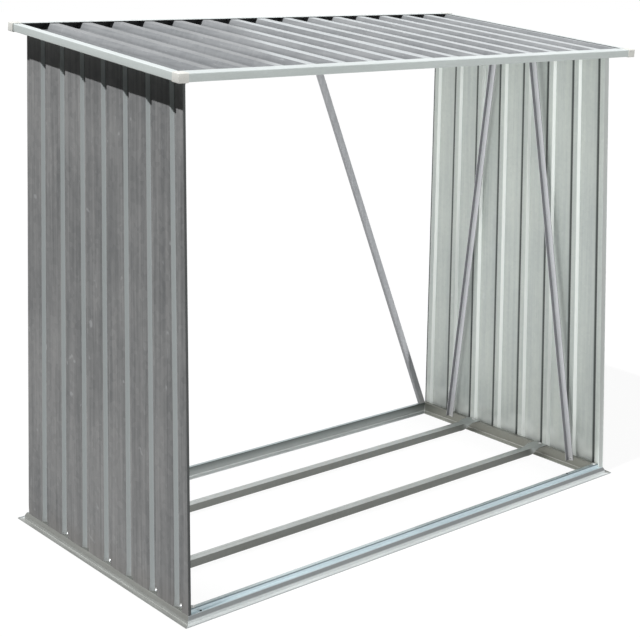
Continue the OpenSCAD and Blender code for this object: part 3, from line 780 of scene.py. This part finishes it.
def back_brace(node, side):
    """A slanting brace behind the back sill and trim, with a tab bent onto the sill; gives its
    bolts' places."""
    foot = Vector((side_lip - BACK_FOOT_IN, SILL_TOP + LAY))
    head = Vector((BACK_HEAD_X, under_roof(trim_face)))
    way = (head - foot).normalized()
    across = Vector((way.y, -way.x))

    def ends(u, v):
        low = foot.y + BRACE_T / 2
        high = under_roof(trim_face - u) + BRACE_LAP / cos(slope)
        return ((low - foot.y - across.y * v) / way.y, (high - foot.y - across.y * v) / way.y)

    def place(u, v, w):
        spot = foot + way * w + across * v
        return side * spot.x, trim_face - u, spot.y
    bar = [(-BRACE_T / 2, BRACE_W / 2), (-BRACE_T / 2, BRACE_T / 2 - BRACE_W / 2),
           (-BRACE_LEG, BRACE_T / 2 - BRACE_W / 2)]
    piece = folded(node + "_angle", bar, BRACE_BEND, ends, place, BRACE_T, 4)
    tab = folded(node + "_tab", [(0.0004, BRACE_T / 2), (BRACE_LEG, BRACE_T / 2)], TAB_BEND,
                 lambda u, v: (-BRACE_W / 2, BRACE_W / 2),
                 lambda u, v, w: (side * (foot.x + w), trim_face + u, foot.y + v), BRACE_T)
    fitted(tab, "brace", back_brace_shaded_zinc)
    fitted(piece, "brace", back_brace_shaded_zinc, node)
    high = foot + way * ((head - foot).length + BRACE_LAP / 2)
    return [((side * high.x, trim_face + BRACE_T, high.y), BACK),
            ((side * foot.x, trim_face + BRACE_LEG * 0.58, foot.y + BRACE_T), UP)]


brace_spots += back_brace("back_left_brace", -1) + back_brace("back_right_brace", 1)
bolted("brace_bolts", "brace", brace_spots, Washer_Radius=0.0042, Head_Radius=0.0034,
       Washer_Thickness=0.0008)

# ---------------------------------------------------------------------------------------
# Roof sheets. Two corrugated sheets with the grey coat on top and bare zinc beneath; the right
# one laps over the left one's last rib, with its edge lying in the valley before it.

ROOF_W, ROOF_PITCH, ROOF_FIRST, ROOF_CREST, ROOF_FLANK = 1.720, 0.1048, 0.132, 0.028, 0.008
ROOF_RIBS, LAP_RIB, LAP_EDGE, ROOF_BEND, BUCKLE_IN = 16, 8, 0.022, 0.0028, 0.06

seat = STRIP + LAY
roof_rib = TRIM_H - 2 * seat - 2 * SHEET - LAY


def roof_painted_light(tree, place, colour):
    """Painted light on the roof coat: painted highlights on the rib crests, only right of a diagonal
    line across the roof, and painted shade darkening the valleys between them."""
    square = part_along(tree, place, (0.0, -sin(slope), cos(slope)))
    base = (under_roof(roof_front) * cos(slope) - roof_front * sin(slope)) + seat
    above = sum_of(tree, "SUBTRACT", square, base)
    # Painted shade: darker down into the valleys.
    valley_shade = spread(tree, above, 0.7 * roof_rib, 0.0, 0.0, 0.4)
    colour = blended(tree, valley_shade, colour, (0.07, 0.075, 0.08, 1))
    # Painted highlight on the crests, kept to the part right of a diagonal line.
    bright = spread(tree, part_along(tree, place, (1.0, -0.53, 0.0)), -0.36, -0.26)
    crest = spread(tree, above, roof_rib - SHEET / 4, roof_rib + SHEET / 2)
    return blended(tree, sum_of(tree, "MULTIPLY", crest, bright), colour, (0.53, 0.56, 0.575, 1))


roof_coat = galvanised("roof coat", (0.35, 0.36, 0.37, 1), (0.21, 0.22, 0.23, 1),
                       (0.25, 0.24, 0.22, 1), 0.42, 0.0, (1.0, 0.04, 1.0), 60.0, 60.0, 0.15,
                       roof_painted_light)
roof_zinc = galvanised("roof zinc beneath", (0.60, 0.635, 0.60, 1), (0.44, 0.47, 0.44, 1),
                       (0.42, 0.40, 0.36, 1), 0.36, 0.6, (1.0, 0.04, 1.0), 60.0, 90.0)

half_trim = ROOF_W / 2 - CAP_RISE
half_sheet = half_trim - seat
roof_ribs = [ROOF_FIRST + ROOF_PITCH * k - ROOF_W / 2 for k in range(ROOF_RIBS)]
lap_x = roof_ribs[LAP_RIB - 1]


def on_roof(x, along, up):
    """A place given across the roof, down its slope and above the trims' underside."""
    return (x, roof_front + along * cos(slope) - up * sin(slope),
            under_roof(roof_front) + along * sin(slope) + up * cos(slope))


def ribbed(middles):
    """The section of a run of ribs, given their middles."""
    line = []
    for m in middles:
        line += [(m - ROOF_CREST / 2 - ROOF_FLANK, SKIN), (m - ROOF_CREST / 2, roof_rib + SKIN),
                 (m + ROOF_CREST / 2, roof_rib + SKIN), (m + ROOF_CREST / 2 + ROOF_FLANK, SKIN)]
    return line


def roof_sheet(node, section):
    """One roof sheet, a little buckled between its held ends."""
    start = CAP_RISE + seat
    stop = roof_run - CAP_RISE - seat

    def place(u, v, w):
        held = min(1, (w - start) / BUCKLE_IN, (stop - w) / BUCKLE_IN)
        return on_roof(u, w, seat + v + noise.noise((u * 6, w * 2.5, 7.0)) * BUCKLE * held)
    piece = folded(node + "_sheet", section, ROOF_BEND, lambda u, v: (start, stop), place, SHEET, 14)
    fitted(piece, "roof_sheet", (roof_zinc, roof_coat), node)


left_line = [(-half_sheet, SKIN)] + ribbed(roof_ribs[:LAP_RIB])
roof_sheet("roof_sheet_left", left_line[:-2] + [(lap_x + ROOF_CREST / 2, roof_rib + SKIN)])
over = SHEET + LAY
edge = ROOF_CREST / 2 + SHEET * tan(atan2(roof_rib, ROOF_FLANK) / 2) + LAY
right_line = [(lap_x - edge - ROOF_FLANK - LAP_EDGE, over + SKIN),
              (lap_x - edge - ROOF_FLANK, over + SKIN),
              (lap_x - edge, roof_rib + over + SKIN), (lap_x + edge, roof_rib + over + SKIN),
              (lap_x + edge + ROOF_FLANK, SKIN)] + ribbed(roof_ribs[LAP_RIB:])
roof_sheet("roof_sheet_right", right_line[:-2] + [(half_sheet, roof_rib + SKIN)])

# ---------------------------------------------------------------------------------------
# Roof trims. Four lengths of folded zinc channel, mitred at the corners: a narrow flange under
# the sheets, an upright face, and a wide flange that laps down over the ribs.

TRIM_FOOT, FRONT_FLANGE, BACK_FLANGE, SIDE_FLANGE = 0.020, 0.040, 0.024, 0.024
TRIM_BEND = 0.0018


def trim_zinc(name, rolled):
    """Bright zinc, rolled along the trim's own length, with its faces darkened a little as painted shade.
    """
    return galvanised(name, (0.74, 0.79, 0.79, 1), (0.63, 0.68, 0.68, 1), (0.64, 0.63, 0.60, 1),
                      0.40, 0.3, rolled, 80.0, 140.0, ribs=painted_web_shade((0.80, 0.81, 0.79, 1)))


trim_across = trim_zinc("roof trim across", (0.05, 1.0, 1.0))
trim_along = trim_zinc("roof trim along", (1.0, 0.05, 1.0))
# Painted shade: the trims' insides are coloured near black, standing in for the shade inside the channel.
trim_inside_shade = galvanised("roof trim inside painted shade", (0.07, 0.073, 0.075, 1), (0.03, 0.032, 0.033, 1),
                         (0.08, 0.078, 0.074, 1), 0.6, 0.0, (0.4, 0.4, 1.0), 80.0, 140.0, 0.1)


def trim_section(flange):
    """A trim's section: the foot under the sheets, the face and the flange over them."""
    return [(TRIM_FOOT, HALF), (HALF, HALF), (HALF, TRIM_H - HALF), (flange, TRIM_H - HALF)]


def cross_trim(node, flange, place):
    """The front or back trim."""
    def ends(u, v):
        inset = u * SIDE_FLANGE / flange + LAY
        return inset - half_trim, half_trim - inset
    piece = folded(node + "_folded", trim_section(flange), TRIM_BEND, ends, place, rows=2)
    fitted(piece, "roof_trim", (trim_inside_shade, trim_across), node)


def slope_trim(node, side):
    """A side trim, which runs down the roof's slope."""
    def ends(u, v):
        return (CAP_RISE + u * FRONT_FLANGE / SIDE_FLANGE,
                roof_run - CAP_RISE - u * BACK_FLANGE / SIDE_FLANGE)
    piece = folded(node + "_folded", trim_section(SIDE_FLANGE), TRIM_BEND, ends,
                   lambda u, v, w: on_roof(side * (half_trim - u), w, v), rows=2)
    fitted(piece, "roof_trim", (trim_inside_shade, trim_along), node)


cross_trim("front_roof_trim", FRONT_FLANGE, lambda u, v, w: on_roof(w, CAP_RISE + u, v))
cross_trim("back_roof_trim", BACK_FLANGE, lambda u, v, w: on_roof(w, roof_run - CAP_RISE - u, v))
slope_trim("left_roof_trim", -1)
slope_trim("right_roof_trim", 1)

# ---------------------------------------------------------------------------------------
# Corner caps. White moulded plastic covers, pushed over the trims' mitred corners; their
# outside edges are rounded.

CAP_L, CAP_ROUND = 0.030, 0.0022

cap_white = plated("corner cap plastic", (0.86, 0.86, 0.81, 1), 0.42, 0.0)


def corner_cap(node, side, at_back):
    """A cap for one corner, open towards the roof's two edges there."""
    tall = TRIM_H + 2 * LAY + 2 * CAP_T
    shape = bmesh.new()
    corners = [shape.verts.new((x, y, z)) for z in (0, tall)
               for x, y in ((0, 0), (CAP_L, 0), (CAP_L, CAP_L), (0, CAP_L))]
    a, b, c, d, e, f, g, h = corners
    for face in ((a, d, c, b), (e, f, g, h), (a, b, f, e), (a, e, h, d)):
        shape.faces.new(face)
    outer = [edge for edge in shape.edges if len(edge.link_faces) == 2]
    bmesh.ops.bevel(shape, geom=outer, offset=CAP_ROUND, segments=4, profile=0.5, affect="EDGES")
    bmesh.ops.recalc_face_normals(shape, faces=shape.faces)
    middle = Vector((CAP_L / 2, CAP_L / 2, tall / 2))
    if sum((face.calc_center_median() - middle).dot(face.normal) for face in shape.faces) < 0:
        bmesh.ops.reverse_faces(shape, faces=shape.faces)
    bmesh.ops.solidify(shape, geom=shape.faces[:], thickness=CAP_T)
    for point in shape.verts:
        along = roof_run - point.co.y if at_back else point.co.y
        point.co = on_roof(side * (ROOF_W / 2 - point.co.x), along, point.co.z - CAP_RISE)
    fitted(finished(node + "_moulded", shape), "corner_cap", cap_white, node)


corner_cap("front_left_cap", -1, False)
corner_cap("front_right_cap", 1, False)
corner_cap("back_left_cap", -1, True)
corner_cap("back_right_cap", 1, True)

# ---------------------------------------------------------------------------------------
# Studio. A pale floor that shows white behind the store and keeps its soft shadow, a key lamp
# high on the left, a wide soft lamp in front, a small one by each wall, and a white surround.

FLOOR_REACH, FLOOR_DROP = 30, 0.0005


def seen_plainly(tree, ray):
    """1 for the rays that show the white floor and surround, and 0 for those that light the store."""
    seen = sum_of(tree, "MAXIMUM", ray.outputs["Is Camera Ray"], ray.outputs["Is Glossy Ray"])
    return sum_of(tree, "MAXIMUM", seen, ray.outputs["Is Transmission Ray"])


floor_mesh = bpy.data.meshes.new("floor")
floor_corners = [(x * FLOOR_REACH, y * FLOOR_REACH, 0) for x, y in ((-1, -1), (1, -1), (1, 1), (-1, 1))]
floor_mesh.from_pydata(floor_corners, [], [(0, 1, 2, 3)])
floor = put("floor", floor_mesh)
floor.location.z = -FLOOR_DROP
floor_paint = bpy.data.materials.new("pale floor")
floor_paint.use_nodes = True
tree = floor_paint.node_tree
tree.nodes.remove(tree.nodes["Principled BSDF"])
plainly = seen_plainly(tree, added(tree, "ShaderNodeLightPath"))
matt = added(tree, "ShaderNodeBsdfDiffuse", {"Color": (0.06, 0.06, 0.06, 1)})
dim = added(tree, "ShaderNodeBsdfDiffuse", {"Color": (0.08, 0.08, 0.08, 1)})
glow = added(tree, "ShaderNodeEmission", {"Color": (1, 1, 1, 1), "Strength": 0.95})
seen = added(tree, "ShaderNodeAddShader", {0: matt.outputs[0], 1: glow.outputs[0]})
pick = added(tree, "ShaderNodeMixShader", {0: plainly, 1: dim.outputs[0], 2: seen.outputs[0]})
tree.links.new(pick.outputs[0], tree.nodes["Material Output"].inputs["Surface"])
floor_mesh.materials.append(floor_paint)

world = bpy.data.worlds.new("surround")
bpy.context.scene.world = world
world.use_nodes = True
tree = world.node_tree
backdrop = tree.nodes["Background"]
backdrop.inputs["Color"].default_value = (1, 1, 1, 1)
plainly = seen_plainly(tree, added(tree, "ShaderNodeLightPath"))
tree.links.new(spread(tree, plainly, 0.0, 1.0, 0.04, 1.0), backdrop.inputs["Strength"])

key = bpy.data.lights.new("key", "SUN")
key.energy, key.angle = 4.2, radians(1.2)
key_lamp = put("key", key)
key_lamp.rotation_euler = Vector((-0.52, -0.03, 0.85)).to_track_quat("Z", "Y").to_euler()

for name, wide, tall, power, at, towards in (
        ("front fill", 1.8, 2.0, 62, (0.1, -3.4, 1.1), BACK),
        ("left inside fill", 0.85, 1.1, 11, (-0.70, 0.0, 0.72), RIGHT),
        ("right inside fill", 0.85, 1.1, 8, (0.70, 0.0, 0.72), LEFT)):
    soft = bpy.data.lights.new(name, "AREA")
    soft.shape, soft.size, soft.size_y, soft.energy = "RECTANGLE", wide, tall, power
    soft_lamp = put(name, soft)
    soft_lamp.location = at
    soft_lamp.rotation_euler = Vector(towards).to_track_quat("-Z", "Y").to_euler()
    soft_lamp.visible_camera = soft_lamp.visible_glossy = False

# ---------------------------------------------------------------------------------------
# Camera. It stands to the left in front of the store, a little above the roof, and looks across
# the open front through a long lens.

CAMERA_AT = (-2.7045, -3.4352, 1.7371)
YAW, PITCH, ROLL = 0.7647, 0.1007, 0.0195
FOCAL, SHIFT = 79.41, (-0.2399, -0.3511)

forward = Vector((sin(YAW) * cos(PITCH), cos(YAW) * cos(PITCH), -sin(PITCH)))
level_right = Vector((cos(YAW), -sin(YAW), 0))
level_up = level_right.cross(forward)
right_way = cos(ROLL) * level_right + sin(ROLL) * level_up
up_way = cos(ROLL) * level_up - sin(ROLL) * level_right
lens = bpy.data.cameras.new("camera")
lens.sensor_width, lens.lens = 36.0, FOCAL
lens.shift_x, lens.shift_y = SHIFT
camera = put("camera", lens)
camera.matrix_world = Matrix.Translation(CAMERA_AT) @ Matrix(
    (right_way, up_way, -forward)).transposed().to_4x4()
bpy.context.scene.camera = camera
bpy.context.scene.view_settings.view_transform = "Standard"
